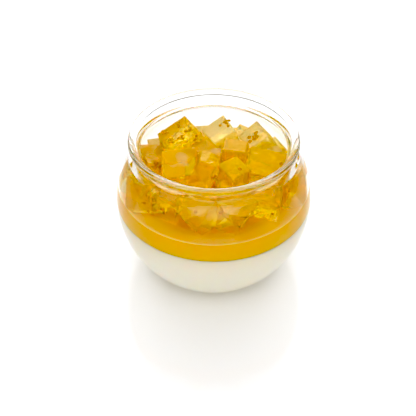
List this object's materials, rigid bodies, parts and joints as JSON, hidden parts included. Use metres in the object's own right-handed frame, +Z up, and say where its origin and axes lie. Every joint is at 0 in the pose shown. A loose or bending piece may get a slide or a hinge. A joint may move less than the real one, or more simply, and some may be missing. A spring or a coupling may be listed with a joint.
{
  "type": "panna cotta",
  "caption": "Panna cotta in a round stemless glass: white set cream, a band of golden jelly over it and a heap of clear golden jelly cubes up to the rim.",
  "frame": {"origin": "centre of the glass's foot, on the surface it stands on", "axes": "+Z up along the glass's axis; -Y towards the picture's viewer, +X to their right"},
  "size_m": [0.08, 0.08, 0.064],
  "materials": {
    "clear_glass": "clear, polished",
    "set_cream": "smooth, softly glossy set cream",
    "golden_jelly": "smooth, wet, nearly opaque golden jelly",
    "clear_jelly": "wet, see-through golden jelly"
  },
  "bodies": {
    "root": {"glass": "clear_glass", "panna_cotta": "set_cream", "jelly_layer": "golden_jelly", "jelly_cube_01": "clear_jelly", "jelly_cube_02": "clear_jelly", "jelly_cube_03": "clear_jelly", "jelly_cube_04": "clear_jelly", "jelly_cube_05": "clear_jelly", "jelly_cube_06": "clear_jelly", "jelly_cube_07": "clear_jelly", "jelly_cube_08": "clear_jelly", "jelly_cube_09": "clear_jelly", "jelly_cube_10": "clear_jelly", "jelly_cube_11": "clear_jelly", "jelly_cube_12": "clear_jelly", "jelly_cube_13": "clear_jelly", "jelly_cube_14": "clear_jelly", "jelly_cube_15": "clear_jelly", "jelly_cube_16": "clear_jelly", "jelly_cube_17": "clear_jelly", "jelly_cube_18": "clear_jelly", "jelly_cube_19": "clear_jelly", "jelly_cube_20": "clear_jelly", "jelly_cube_21": "clear_jelly", "jelly_cube_22": "clear_jelly", "jelly_cube_23": "clear_jelly", "jelly_cube_24": "clear_jelly", "jelly_cube_25": "clear_jelly"}
  },
  "joints": []
}
